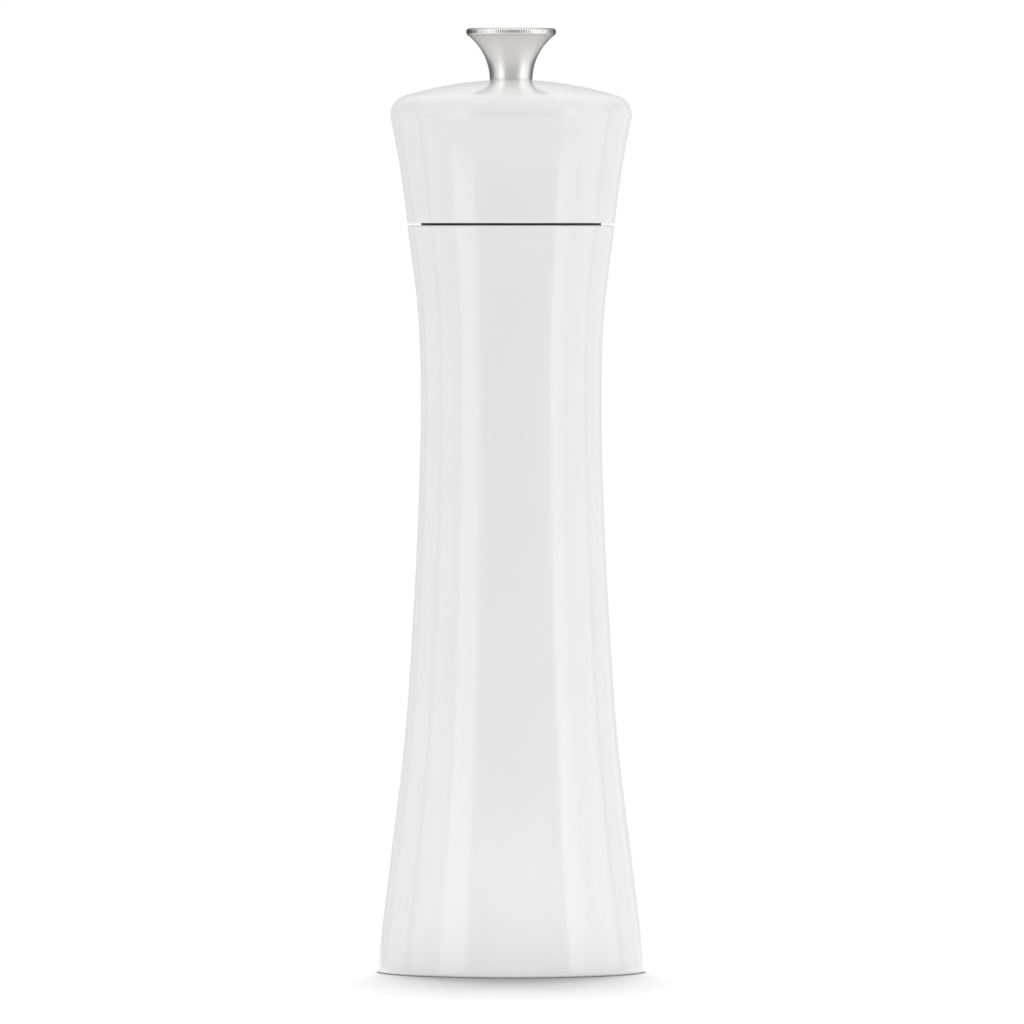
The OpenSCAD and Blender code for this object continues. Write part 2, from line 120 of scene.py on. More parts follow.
# Knob
KNOB_HIGH = box_mm("knob")[1]
KNOB_R = KNOB_HIGH.x
STEM_R = 4.75
RIM_T = 1.5
RIM_TOP_ROUND = (0.9, 0.55)        # width and height of the rim's elliptical upper edge
RIM_FOOT_ROUND = 0.6               # rounding of its lower edge, which runs on from the flare
RIM_PAINTED_SHADE = 0.88                   # painted shade: the knurled rim's colour as a share of the steel's darker colour, dimmed to stand for the shade in its knurls
FLARE_END = radians(53)            # turn of the flare from the stem to the rim
KNURLS = 114
KNURL_DEPTH = 0.05
KNURL_GAP = 0.4                    # share of the pitch that a knurl's groove takes
BORE_TOP = KNOB_HIGH.z - 1.9
THREAD_PLAY = 0.08

# Shaft
SHAFT_LOW, SHAFT_HIGH = box_mm("drive_shaft")
SHAFT_W = 5.0
SHAFT_CORNER_R = 3.4
SQUARE_FOOT, SQUARE_TOP = 10.5, 191.0
TOP_THREAD = (2.5, 0.8)            # radius and pitch
FOOT_THREAD = (2.0, 0.7)
THREAD_SHARE = 0.55                # depth of a thread as a share of its pitch
CLIP_LOW, CLIP_HIGH = box_mm("stop_clip")
CLIP_GROOVE_R = 2.75

# Burrs
BURR_LOW, BURR_HIGH = box_mm("rotor_burr")
STATOR_LOW, STATOR_HIGH = box_mm("stator_burr")
ROTOR_R = 14.1
BAND_H = 4.5
BAND_SLOPE = 0.3
FINE_TEETH = 32
ROTOR_GROOVES = 8
STATOR_GROOVES = 12
# How far teeth and grooves run round, in teeth or grooves per millimetre of height
FINE_TWIST = 0.144
ROTOR_TWIST = 0.045
STATOR_TWIST = 0.04

# ---------------------------------------------------------------- outlines


def smooth_at(values, share):
    """A point on a smooth curve through equally spaced values. The two end values only set the slopes."""
    steps = len(values) - 3
    x = min(max(share, 0), 1) * steps
    i = min(floor(x), steps - 1)
    t = x - i
    a, b, c, d = values[i:i + 4]
    return 0.5 * (2 * b + (c - a) * t + (2 * a - 5 * b + 4 * c - d) * t * t
                  + (3 * b - 3 * c + d - a) * t ** 3)


def body_radius(z):
    """Outer radius of the body at a height."""
    if z < WAIST_Z:
        return WAIST_R + (BASE_R - WAIST_R) * smooth_at(SKIRT_SHARES, z / WAIST_Z)
    return WAIST_R + (MOUTH_R - WAIST_R) * smooth_at(NECK_SHARES, (z - WAIST_Z) / (BODY_H - WAIST_Z))


def crown_z(r):
    """Height of the head's domed top at a distance from the axis."""
    return CROWN_CENTRE + sqrt(CROWN_R ** 2 - r ** 2)


def side_radius(t):
    """Outer radius of the head's side: a curve from its lower rim at 0 to its rounded edge at 1."""
    return (1 - t) ** 2 * HEAD_R + 2 * t * (1 - t) * SIDE_MID_R + t * t * SIDE_TOP_R


def arc(centre, r, start, end, steps):
    """Points on an arc from one angle to another."""
    return [(centre[0] + r * cos(start + (end - start) * i / steps),
             centre[1] + r * sin(start + (end - start) * i / steps)) for i in range(steps + 1)]


def spread(start, end, steps):
    """Evenly spaced numbers with both ends."""
    return [start + (end - start) * i / steps for i in range(steps + 1)]


def rounded(corners, steps):
    """An outline through (radius, height, fillet) corners, each rounded by an arc of its fillet."""
    outline = []
    for k, (x, z, fillet) in enumerate(corners):
        here = Vector((x, z))
        if not fillet:
            outline.append((x, z))
            continue
        back = (Vector(corners[k - 1][:2]) - here).normalized()
        ahead = (Vector(corners[(k + 1) % len(corners)][:2]) - here).normalized()
        half = back.angle(ahead) / 2
        centre = here + (back + ahead).normalized() * fillet / sin(half)
        first = here + back * fillet / tan(half) - centre
        last = here + ahead * fillet / tan(half) - centre
        start = atan2(first.y, first.x)
        turn = (atan2(last.y, last.x) - start + pi) % tau - pi
        outline += arc(centre, fillet, start, start + turn, steps)
    return outline


def thread_wave(z, angle, pitch):
    """Height of a right-handed thread's ridge, from 0 at its root to 1 at its crest."""
    slope, root_flat = 1.9, 0.35
    phase = (z / pitch - angle / tau) % 1
    return min(max(slope * (1 - abs(2 * phase - 1)) - root_flat, 0), 1)


# ---------------------------------------------------------------- mesh tools


def turned_bmesh(outline, segments, shape=None):
    """A closed outline of (radius, height) pairs, revolved round Z.

    shape(r, z, angle) may change a radius.
    """
    bm = bmesh.new()
    rings = []
    for r, z in outline:
        if r < ON_AXIS:
            rings.append([bm.verts.new((0, 0, z * MM))])
            continue
        ring = []
        for i in range(segments):
            angle = tau * i / segments
            shaped = shape(r, z, angle) if shape else r
            ring.append(bm.verts.new((shaped * cos(angle) * MM, shaped * sin(angle) * MM, z * MM)))
        rings.append(ring)
    for low, high in zip(rings, rings[1:] + rings[:1]):
        if len(low) == 1 and len(high) == 1:
            continue
        for i in range(segments):
            j = (i + 1) % segments
            corners = [low[i % len(low)], low[j % len(low)], high[j % len(high)], high[i % len(high)]]
            bm.faces.new(list(dict.fromkeys(corners)))
    bmesh.ops.recalc_face_normals(bm, faces=bm.faces)
    return bm


def tube_bmesh(points, r, sides=16):
    """A round wire along points, with closed ends. The points run nearly level, as in a coil."""
    bm = bmesh.new()
    rings = []
    for k, point in enumerate(points):
        ahead = Vector(points[min(k + 1, len(points) - 1)]) - Vector(points[max(k - 1, 0)])
        across = ahead.cross(Vector((0, 0, 1))).normalized()
        up = across.cross(ahead).normalized()
        ring = []
        for i in range(sides):
            angle = tau * i / sides
            offset = (across * cos(angle) + up * sin(angle)) * r
            ring.append(bm.verts.new((Vector(point) + offset) * MM))
        rings.append(ring)
    for low, high in zip(rings, rings[1:]):
        for i in range(sides):
            bm.faces.new((low[i], low[(i + 1) % sides], high[(i + 1) % sides], high[i]))
    bm.faces.new(rings[0])
    bm.faces.new(rings[-1])
    bmesh.ops.recalc_face_normals(bm, faces=bm.faces)
    return bm


def fill_mesh(mesh, bm):
    """Puts a bmesh into a mesh, after merging points that lie on each other and dropping slivers."""
    bmesh.ops.remove_doubles(bm, verts=bm.verts, dist=SAME_PLACE)
    bmesh.ops.dissolve_degenerate(bm, edges=bm.edges, dist=SAME_PLACE)
    bm.to_mesh(mesh)
    bm.free()
    mesh.validate()


def add_mesh(name, bm, sharp_angle=35):
    """A new object from a bmesh, smooth except at edges sharper than the angle."""
    mesh = bpy.data.meshes.new(name)
    fill_mesh(mesh, bm)
    mesh.shade_smooth()
    mesh.set_sharp_from_angle(angle=radians(sharp_angle))
    piece = bpy.data.objects.new(name, mesh)
    bpy.context.scene.collection.objects.link(piece)
    return piece


def scratch_box(low, high):
    """A box from corner to corner, in millimetres, for adding to or cutting from a piece."""
    bm = bmesh.new()
    bmesh.ops.create_cube(bm, size=1)
    size = Vector(high) - Vector(low)
    centre = (Vector(high) + Vector(low)) / 2
    bm.transform(Matrix.Translation(centre * MM) @ Matrix.Diagonal((*(size * MM), 1)))
    return add_mesh("scratch", bm)


def screw_post(r, low, high, bore_r, bore_top):
    """A round post with a blind hole for a screw in its foot."""
    outline = [(bore_r, low), (r, low), (r, high), (0, high), (0, bore_top), (bore_r, bore_top)]
    return add_mesh("scratch", turned_bmesh(outline, 48))


def place(piece, x, y, turn=0):
    """Moves a scratch piece to x, y in millimetres after turning it by degrees round Z."""
    piece.data.transform(Matrix.Rotation(radians(turn), 4, "Z") @ Matrix.Translation((x * MM, y * MM, 0)))
    return piece


def combine(piece, others, operation, sharp_angle=35):
    """Adds the other meshes to a piece, or cuts them from it, and removes them."""
    for other in others:
        modifier = piece.modifiers.new("combine", "BOOLEAN")
        modifier.operation = operation
        modifier.solver = "EXACT"
        modifier.object = other
    bpy.context.view_layer.update()
    result = bpy.data.meshes.new_from_object(piece.evaluated_get(bpy.context.evaluated_depsgraph_get()))
    bm = bmesh.new()
    bm.from_mesh(result)
    fill_mesh(result, bm)
    piece.modifiers.clear()
    piece.data = result
    for other in others:
        bpy.data.objects.remove(other)
    result.shade_smooth()
    result.set_sharp_from_angle(angle=radians(sharp_angle))


def finish_piece(piece, node, material):
    """Puts a piece in the place of one CAD node."""
    piece.data.materials.clear()
    piece.data.materials.append(material)
    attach(piece, body_of_node(node))
    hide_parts(node)
    return piece


def body_of_node(node):
    """The moving body that a CAD node belongs to."""
    groups = frame["record"]["behaviour"]["bodies"]
    return next(body for body, members in groups.items() if node in members)


# ---------------------------------------------------------------- materials


def add_node(tree, kind, inputs=None, **settings):
    """A node with settings of its own, whose inputs are numbers or other nodes' outputs."""
    node = tree.nodes.new(kind)
    for name, value in settings.items():
        setattr(node, name, value)
    for name, value in (inputs or {}).items():
        if isinstance(value, bpy.types.NodeSocket):
            tree.links.new(value, node.inputs[name])
        else:
            node.inputs[name].default_value = value
    return node


class Nodes:
    """A short way to build a procedural material round one Principled shader."""

    def __init__(self, name):
        self.material = bpy.data.materials.new(name)
        self.material.use_nodes = True
        self.tree = self.material.node_tree
        self.shader = self.tree.nodes["Principled BSDF"]
        self.place = self.tree.nodes.new("ShaderNodeTexCoord").outputs["Object"]

    def set(self, **values):
        """Sets the shader's own sockets. An underscore in a name stands for a space."""
        for name, value in values.items():
            self.shader.inputs[name.replace("_", " ")].default_value = value
        return self

    def add(self, kind, inputs=None, **settings):
        return add_node(self.tree, kind, inputs, **settings)

    def math(self, operation, a, b):
        return self.add("ShaderNodeMath", {0: a, 1: b}, operation=operation).outputs[0]

    def noise(self, scale, detail=3.0, at=None, roughness=0.5):
        """Noise whose scale is the number of its spots per metre."""
        inputs = {"Vector": at or self.place, "Scale": scale, "Detail": detail, "Roughness": roughness}
        return self.add("ShaderNodeTexNoise", inputs).outputs["Fac"]

    def spread(self, value, low, high, start=0.3, end=0.7):
        """Maps a noise value from start..end to low..high."""
        inputs = {"Value": value, "From Min": start, "From Max": end, "To Min": low, "To Max": high}
        return self.add("ShaderNodeMapRange", inputs).outputs["Result"]

    def mix(self, share, first, second):
        """From the first colour to the second as the share goes from 0 to 1."""
        node = self.add("ShaderNodeMix", data_type="RGBA")
        self.tree.links.new(share, node.inputs["Factor"])
        for socket, value in ((node.inputs[6], first), (node.inputs[7], second)):
            if isinstance(value, bpy.types.NodeSocket):
                self.tree.links.new(value, socket)
            else:
                socket.default_value = (*value, 1)
        return node.outputs[2]

    def radius(self):
        """Distance from the mill's axis, in metres."""
        level = {0: self.place, 1: (1, 1, 0)}
        flat = self.add("ShaderNodeVectorMath", level, operation="MULTIPLY").outputs[0]
        return self.add("ShaderNodeVectorMath", {0: flat}, operation="LENGTH").outputs["Value"]

    def rings(self, per_metre):
        """Coordinates that run with the turning marks: radius and height, in marks per metre."""
        height = self.add("ShaderNodeSeparateXYZ", {0: self.place}).outputs[2]
        across = self.math("MULTIPLY", self.radius(), per_metre)
        along = self.math("MULTIPLY", height, per_metre)
        return self.add("ShaderNodeCombineXYZ", {0: across, 1: along, 2: 0.0}).outputs[0]

    def link(self, socket, value):
        """Feeds one of the shader's sockets."""
        self.tree.links.new(value, self.shader.inputs[socket])

    def bump(self, height, distance):
        """A bump whose full height is the distance, in metres."""
        normal = self.add("ShaderNodeBump", {"Height": height, "Distance": distance}).outputs["Normal"]
        self.link("Normal", normal)


def white_gloss():
    """Gloss white moulded ABS: a faint long ripple in its skin and the lightest rub marks."""
    m = Nodes("white_gloss_abs").set(IOR=1.5)
    tint = m.spread(m.noise(60, 2), 0, 1)
    m.link("Base Color", m.mix(tint, (0.765, 0.765, 0.764), (0.775, 0.775, 0.774)))
    rub = m.spread(m.noise(900, 5, roughness=0.65), 0.09, 0.13, 0.35, 0.75)
    m.link("Roughness", rub)
    m.bump(m.noise(130, 1), 0.000012)
    return m.material


def black_plastic():
    """Dark grey moulded ABS with a fine spark-eroded grain."""
    m = Nodes("black_moulded_abs").set(IOR=1.5)
    m.link("Base Color", m.mix(m.spread(m.noise(350), 0, 1), (0.150, 0.148, 0.146), (0.180, 0.178, 0.175)))
    m.link("Roughness", m.spread(m.noise(2200, 4), 0.36, 0.52))
    m.bump(m.noise(6500, 2), 0.00001)
    return m.material


def dark_nylon():
    """Glass-filled nylon: dark grey with faint flow marks."""
    m = Nodes("dark_glass_nylon").set(IOR=1.53)
    m.link("Base Color", m.mix(m.spread(m.noise(260, 5), 0, 1), (0.035, 0.036, 0.038), (0.060, 0.061, 0.064)))
    m.link("Roughness", m.spread(m.noise(1500, 4), 0.42, 0.62))
    m.bump(m.noise(5200, 3), 0.000014)
    return m.material


def acetal():
    """Natural acetal: milky, slightly waxy."""
    m = Nodes("natural_acetal").set(IOR=1.48, Subsurface_Weight=0.25, Subsurface_Scale=0.0015)
    m.link("Base Color", m.mix(m.spread(m.noise(300), 0, 1), (0.80, 0.78, 0.72), (0.86, 0.845, 0.79)))
    m.link("Roughness", m.spread(m.noise(1800, 3), 0.28, 0.42))
    m.bump(m.noise(4000, 2), 0.000006)
    return m.material


def burr_ceramic():
    """Sintered ceramic: ivory, matt, with a fine sandy grain and a few darker specks."""
    m = Nodes("burr_ceramic").set(IOR=1.6)
    body = m.mix(m.spread(m.noise(420, 4), 0, 1), (0.72, 0.69, 0.61), (0.80, 0.775, 0.70))
    specks = m.spread(m.noise(7500, 1), 0, 1, 0.70, 0.76)
    m.link("Base Color", m.mix(specks, body, (0.42, 0.39, 0.34)))
    m.link("Roughness", m.spread(m.noise(3000, 3), 0.55, 0.75))
    m.bump(m.noise(9000, 2), 0.000016)
    return m.material


def turned_steel(name, light, dark, rough_low, rough_high, depth, rim_r):
    """Satin stainless steel with fine turning marks round Z. Past rim_r it is smoother, and its colour is
    darker with painted shade for the knurls.
    """
    edge_width, rim_rough = 0.0002, 0.6
    m = Nodes(name).set(Metallic=1.0, Specular_Tint=(0.05, 0.05, 0.05, 1))
    m.set(Anisotropic=0.35, Anisotropic_Rotation=0.25)
    tangent = m.add("ShaderNodeTangent", direction_type="RADIAL", axis="Z").outputs[0]
    m.link("Tangent", tangent)
    marks_per_metre = 22000.0
    marks = m.noise(1.0, 3, at=m.rings(marks_per_metre))
    satin = m.mix(m.spread(marks, 0, 1), dark, light)
    # painted shade: past rim_r the colour is darkened to stand for the shade in the knurled rim; the same
    # mask also makes it smoother
    rim = m.spread(m.radius(), 0, 1, rim_r - edge_width, rim_r)
    m.link("Base Color", m.mix(rim, satin, [RIM_PAINTED_SHADE * part for part in dark]))
    rough = m.spread(marks, rough_low, rough_high)
    m.link("Roughness", m.math("MULTIPLY", rough, m.spread(rim, 1.0, rim_rough, 0, 1)))
    m.bump(marks, depth)
    return m.material


def drawn_steel(name, light, dark, rough_low, rough_high):
    """Cold-drawn bar: long faint draw marks along Z and slightly duller patches."""
    m = Nodes(name).set(Metallic=1.0)
    per_metre = (9000.0, 9000.0, 260.0)
    stretched = m.add("ShaderNodeVectorMath", {0: m.place, 1: per_metre}, operation="MULTIPLY").outputs[0]
    marks = m.noise(1.0, 3, at=stretched)
    patches = m.noise(90, 3)
    m.link("Base Color", m.mix(m.spread(patches, 0, 1), light, dark))
    m.link("Roughness", m.math("ADD", m.spread(marks, rough_low, rough_high), m.spread(patches, 0, 0.06)))
    m.bump(marks, 0.000004)
    return m.material


def plated_steel(name, light, dark, rough_low, rough_high):
    """Zinc plate: a bright skin with cloudy patches."""
    m = Nodes(name).set(Metallic=1.0)
    clouds = m.noise(700, 4)
    m.link("Base Color", m.mix(m.spread(clouds, 0, 1), light, dark))
    m.link("Roughness", m.spread(clouds, rough_low, rough_high))
    m.bump(m.noise(5200, 3), 0.000004)
    return m.material


WHITE = white_gloss()
BLACK = black_plastic()
NYLON = dark_nylon()
ACETAL = acetal()
CERAMIC = burr_ceramic()
KNOB_STEEL = turned_steel("brushed_knob_steel", (0.88, 0.87, 0.855), (0.80, 0.79, 0.775), 0.36, 0.45,
                          depth=0.000002, rim_r=(KNOB_R - 0.3) * MM)
SHAFT_STEEL = drawn_steel("drawn_shaft_steel", (0.62, 0.61, 0.595), (0.50, 0.49, 0.475), 0.20, 0.34)
PLATE_STEEL = plated_steel("stamped_plate_steel", (0.62, 0.615, 0.605), (0.49, 0.485, 0.475), 0.26, 0.44)
SPRING_STEEL = plated_steel("spring_wire_steel", (0.52, 0.515, 0.505), (0.38, 0.375, 0.365), 0.20, 0.32)
SCREW_STEEL = plated_steel("zinc_screw_steel", (0.66, 0.66, 0.67), (0.54, 0.54, 0.56), 0.22, 0.38)

# ---------------------------------------------------------------- shells


def make_body_shell():
    """A turned shell with rounded rims, a seat for the collar, and three posts webbed to its inside."""
    web_bite = 0.25                # how far a web stays short of the outer surface
    collar_low, collar_high = box_mm("mouth_collar")
    outer_top = BODY_H - EDGE_R
    outline = [(BASE_R - WALL, FOOT_CHAMFER), (BASE_R - WALL + FOOT_CHAMFER, 0)]
    outline += arc((body_radius(EDGE_R) - EDGE_R, EDGE_R), EDGE_R, -pi / 2, 0, 8)
    outline += [(body_radius(z), z) for z in spread(EDGE_R, outer_top, 120)[1:-1]]
    outline += arc((body_radius(outer_top) - EDGE_R, outer_top), EDGE_R, 0, pi / 2, 8)
    outline += [(collar_high.x, BODY_H), (collar_high.x, collar_low.z)]
    outline += [(body_radius(z) - WALL, z) for z in spread(collar_low.z, FOOT_CHAMFER, 60)[:-1]]
    shell = add_mesh("body_shell_moulding", turned_bmesh(outline, TURN_STEPS))
    web_start, web_end = POST_PLACE + 2, body_radius(POST_TOP) - web_bite
    for angle in POST_ANGLES:
        post = screw_post(POST_R, POST_FOOT, POST_TOP, HOUSING_SCREW[2], POST_FOOT + POST_BORE)
        web_low = (web_start, -WEB_W / 2, POST_FOOT + WEB_DROP)
        web = scratch_box(web_low, (web_end, WEB_W / 2, POST_TOP - WEB_DROP))
        combine(shell, [place(post, POST_PLACE, 0, angle), place(web, 0, 0, angle)], "UNION")
    return finish_piece(shell, "body_shell", WHITE)


def head_outline(depth, start, steps):
    """Half outline of the head from its lower rim to its axis, a depth inside its outer surface."""
    side = []
    for t in spread(start, 1, steps):
        side.append((side_radius(t) - depth, HEAD_Z + (SIDE_TOP_Z - HEAD_Z) * t))
    corner = arc((CORNER_X, CORNER_Z), CORNER_R - depth, -HEAD_LEAN, CORNER_END, steps // 2)
    crown = arc((0, CROWN_CENTRE), CROWN_R - depth, CORNER_END, pi / 2, steps)
    return side + corner[1:] + crown[1:]


def make_head_shell():
    """A turned shell with a thick pad round the shaft's hole, a washer seat and two screw posts."""
    washer_low, washer_high = box_mm("knob_washer")
    hole_r = 2.9
    seat_r = washer_high.x + 0.08
    pad_r, pad_z = 8.0, CROWN_TOP - 3.9
    outline = [(HEAD_R - WALL, HEAD_Z + 0.2), (HEAD_R - WALL + 0.2, HEAD_Z)]
    outline += arc((HEAD_R - EDGE_R + 0.05, HEAD_Z + EDGE_R), EDGE_R, -pi / 2, 0, 8)[:-1]
    outline += [p for p in head_outline(0, 0.03, 48) if p[0] > seat_r + 0.1]
    outline += [(seat_r + 0.1, crown_z(seat_r + 0.1)), (seat_r, crown_z(seat_r) - 0.08)]
    outline += [(seat_r, washer_low.z), (hole_r + 0.15, washer_low.z), (hole_r, washer_low.z - 0.15)]
    outline += [(hole_r, pad_z + 0.2), (hole_r + 0.2, pad_z), (pad_r, pad_z)]
    inner = [p for p in head_outline(WALL, 0.012, 32) if p[0] > pad_r]
    outline += [(pad_r, inner[-1][1] - 0.02)] + inner[::-1]
    shell = add_mesh("head_shell_moulding", turned_bmesh(outline, TURN_STEPS))
    for y in (-CORE_POST_PLACE, CORE_POST_PLACE):
        post = screw_post(POST_R, CORE_TOP, CORE_POST_TOP, CORE_SCREW[2], CORE_TOP + CORE_POST_BORE)
        combine(shell, [place(post, 0, y)], "UNION")
    return finish_piece(shell, "head_shell", WHITE)


def make_mouth_collar():
    """A plain ring with softened edges, whose inner upper edge is the most rounded."""
    low, high = box_mm("mouth_collar")
    bore_r = 17.6
    corners = [(bore_r, low.z, 0.15), (high.x, low.z, 0.15), (high.x, high.z, 0.12), (bore_r, high.z, 0.45)]
    collar = add_mesh("mouth_collar_ring", turned_bmesh(rounded(corners, 5), TURN_STEPS))
    return finish_piece(collar, "mouth_collar", BLACK)


# ---------------------------------------------------------------- knob


def make_knob():
    """A turned knob: blind threaded bore, flared stem, rounded knurled rim and a slightly dished top."""
    foot, top = crown_z(STEM_R) + 0.01, KNOB_HIGH.z
    rim_z = top - RIM_T
    flare_top_r = KNOB_R - RIM_FOOT_ROUND * (1 - cos(FLARE_END))
    rise, run = flare_top_r - STEM_R, rim_z - foot
    flare_r = (rise ** 2 + run ** 2) / (2 * rise)

    def knurled(r, z, angle):
        if r <= flare_top_r + 0.001 or z <= rim_z:
            return r
        offset = abs((angle * KNURLS / tau) % 1 - 0.5) / (KNURL_GAP / 2)
        depth = KNURL_DEPTH * min((r - flare_top_r) / 0.15, 1)
        return r - depth * max(1 - offset, 0)

    outline = [(0, foot), (STEM_R - 0.06, foot)]
    flare = arc((STEM_R + flare_r, foot), flare_r, pi, pi - asin(run / flare_r), 32)
    outline += [p for p in flare[:-1] if p[1] > foot + 0.05]
    lower_centre = (KNOB_R - RIM_FOOT_ROUND, rim_z + RIM_FOOT_ROUND * sin(FLARE_END))
    outline += arc(lower_centre, RIM_FOOT_ROUND, -FLARE_END, 0, 5)
    wide, high = RIM_TOP_ROUND
    outline += [(KNOB_R - wide * (1 - cos(a)), top - high * (1 - sin(a))) for a in spread(0, pi / 2, 8)]
    outline += [(KNOB_R - 1.4, top), (KNOB_R - 1.7, top - 0.06), (KNOB_R * 0.3, top - 0.12), (0, top - 0.12)]
    knob = add_mesh("knob_turning", turned_bmesh(outline, KNURLS * 8, knurled), 50)
    combine(knob, [add_mesh("scratch", threaded_plug_bmesh(foot))], "DIFFERENCE", 50)
    return finish_piece(knob, "knob", KNOB_STEEL)


def threaded_plug_bmesh(foot):
    """The space inside the knob: the shaft's own thread, a little larger all round."""
    crest_r, pitch = TOP_THREAD[0] + THREAD_PLAY, TOP_THREAD[1]
    root_r = crest_r - pitch * THREAD_SHARE
    thread_end = BORE_TOP - 0.9

    def threaded(r, z, angle):
        if r == crest_r and z < thread_end:
            return root_r + (crest_r - root_r) * thread_wave(z, angle, pitch)
        return r

    outline = [(0, foot - 0.3), (crest_r + 0.5, foot - 0.3), (crest_r, foot + 0.3)]
    outline += [(crest_r, z) for z in spread(foot + 0.35, thread_end, 80)]
    outline += [(crest_r - 0.1, BORE_TOP), (0, BORE_TOP + 0.5)]
    return turned_bmesh(outline, 64, threaded)


# ---------------------------------------------------------------- shaft and its small parts


def square_radius(angle, width, corner_r):
    """Distance from the axis to a square bar's side, with its corners turned down to corner_r."""
    return min(corner_r, width / 2 / max(abs(cos(angle)), abs(sin(angle))))


def make_shaft():
    """A square bar with a clip groove, a helical thread for the knob and one for the rotor's nut."""
    top_r, top_pitch = TOP_THREAD
    foot_r, foot_pitch = FOOT_THREAD

    def shape(r, z, angle):
        if z > SQUARE_TOP + 0.3:
            end = min((SHAFT_HIGH.z - z) / 0.5, 1)
            wave = thread_wave(z, angle, top_pitch) * max(end, 0)
            return top_r - top_pitch * THREAD_SHARE * (1 - wave)
        if z < SQUARE_FOOT - 0.2:
            end = min((z - SHAFT_LOW.z) / 0.5, 1)
            wave = thread_wave(z, angle, foot_pitch) * max(end, 0)
            return foot_r - foot_pitch * THREAD_SHARE * (1 - wave)
        if r == CLIP_GROOVE_R:
            return min(r, square_radius(angle, SHAFT_W, SHAFT_CORNER_R))
        return square_radius(angle, SHAFT_W * r / SHAFT_CORNER_R, r)

    corner = SHAFT_CORNER_R
    outline = [(0, SHAFT_LOW.z)]
    outline += [(foot_r, z) for z in spread(SHAFT_LOW.z, SQUARE_FOOT - 0.25, 80)]
    outline += [(corner - 0.3, SQUARE_FOOT), (corner, SQUARE_FOOT + 0.3)]
    outline += [(corner, z) for z in spread(SQUARE_FOOT + 1, CLIP_LOW.z, 8)]
    outline += [(CLIP_GROOVE_R, CLIP_LOW.z), (CLIP_GROOVE_R, CLIP_HIGH.z)]
    outline += [(corner, z) for z in spread(CLIP_HIGH.z, SQUARE_TOP - 0.5, 40)]
    outline += [(corner - 0.5, SQUARE_TOP)]
    outline += [(top_r, z) for z in spread(SQUARE_TOP + 0.35, SHAFT_HIGH.z, 170)]
    outline += [(0, SHAFT_HIGH.z)]
    shaft = add_mesh("drive_shaft_bar", turned_bmesh(outline, 64, shape), 40)
    return finish_piece(shaft, "drive_shaft", SHAFT_STEEL)


def make_washer(node, name, inner_r, material):
    """A flat ring that fills its CAD node's box, with softened edges."""
    fillet = 0.12
    low, high = box_mm(node)
    places = [(inner_r, low.z), (high.x, low.z), (high.x, high.z), (inner_r, high.z)]
    outline = rounded([(r, z, fillet) for r, z in places], 4)
    ring = add_mesh(name, turned_bmesh(outline, 96))
    return finish_piece(ring, node, material)


def make_spring():
    """Five turns of round wire, with the end turns lying flat. The real spring flattens as the shaft rises;
    this coil is made at one length, filling the spring's box.
    """
    low, high = box_mm("spring")
    wire_r = 0.35
    mean_r = 5.4
    turns = 5
    dead = 0.6 / turns
    steps = turns * 48
    points = []
    for i in range(steps + 1):
        share = i / steps
        rise = min(max((share - dead) / (1 - 2 * dead), 0), 1)
        z = low.z + wire_r + (high.z - low.z - 2 * wire_r) * rise
        points.append((mean_r * cos(tau * turns * share), mean_r * sin(tau * turns * share), z))
    spring = add_mesh("spring_coil", tube_bmesh(points, wire_r))
    finish_piece(spring, "spring", SPRING_STEEL)
    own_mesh(spring)


def make_nut():
    """A hexagon nut with chamfered corners."""
    low, high = box_mm("rotor_nut")
    across = 7.0
    point_r = across / 2 / cos(pi / 6)

    def shape(r, z, angle):
        if r < across / 2 - 0.5:
            return r
        flat = across / 2 / cos((angle + pi / 6) % (pi / 3) - pi / 6)
        return min(flat, r)

    bore_r = FOOT_THREAD[0] + 0.04
    outline = [(bore_r, low.z + 0.3), (bore_r + 0.3, low.z), (across / 2 - 0.15, low.z)]
    outline += [(across / 2 + (point_r - across / 2) * t, low.z + 0.35 * t) for t in (0.3, 0.65, 1)]
    outline += [(point_r, z) for z in spread(low.z + 0.8, high.z - 0.8, 3)]
    outline += [(across / 2 + (point_r - across / 2) * t, high.z - 0.35 * t) for t in (1, 0.65, 0.3)]
    outline += [(across / 2 - 0.15, high.z), (bore_r + 0.3, high.z), (bore_r, high.z - 0.3)]
    nut = add_mesh("rotor_hex_nut", turned_bmesh(outline, 120, shape), 25)
    return finish_piece(nut, "rotor_nut", SCREW_STEEL)


def screw_bmesh(sizes, z):
    """A cross-recessed pan-head screw that points up, with the underside of its head at z."""
    head_r, head_h, thread_r, pitch, length = sizes
    root_r = thread_r * 0.74
    tip = z + length

    def shape(r, height, angle):
        if height < z + 0.35 or r > thread_r:
            return r
        taper = min((tip - height) / (2.2 * thread_r), 1)
        crest = thread_wave(height, angle, pitch) * min((height - z) / 0.8 - 0.4, 1)
        return max((root_r + (thread_r - root_r) * max(crest, 0)) * max(taper, 0.06), 0.05)

    outline = [(0, z - head_h)]
    outline += [(head_r * sin(a), z - head_h * (0.3 + 0.7 * cos(a))) for a in spread(0.15, pi / 2, 10)]
    outline += [(head_r, z - 0.12), (head_r - 0.12, z), (thread_r, z)]
    outline += [(thread_r, h) for h in spread(z + 0.3, tip - 0.05, ceil(length / pitch * 10))]
    outline += [(0, tip)]
    return turned_bmesh(outline, 40, shape)


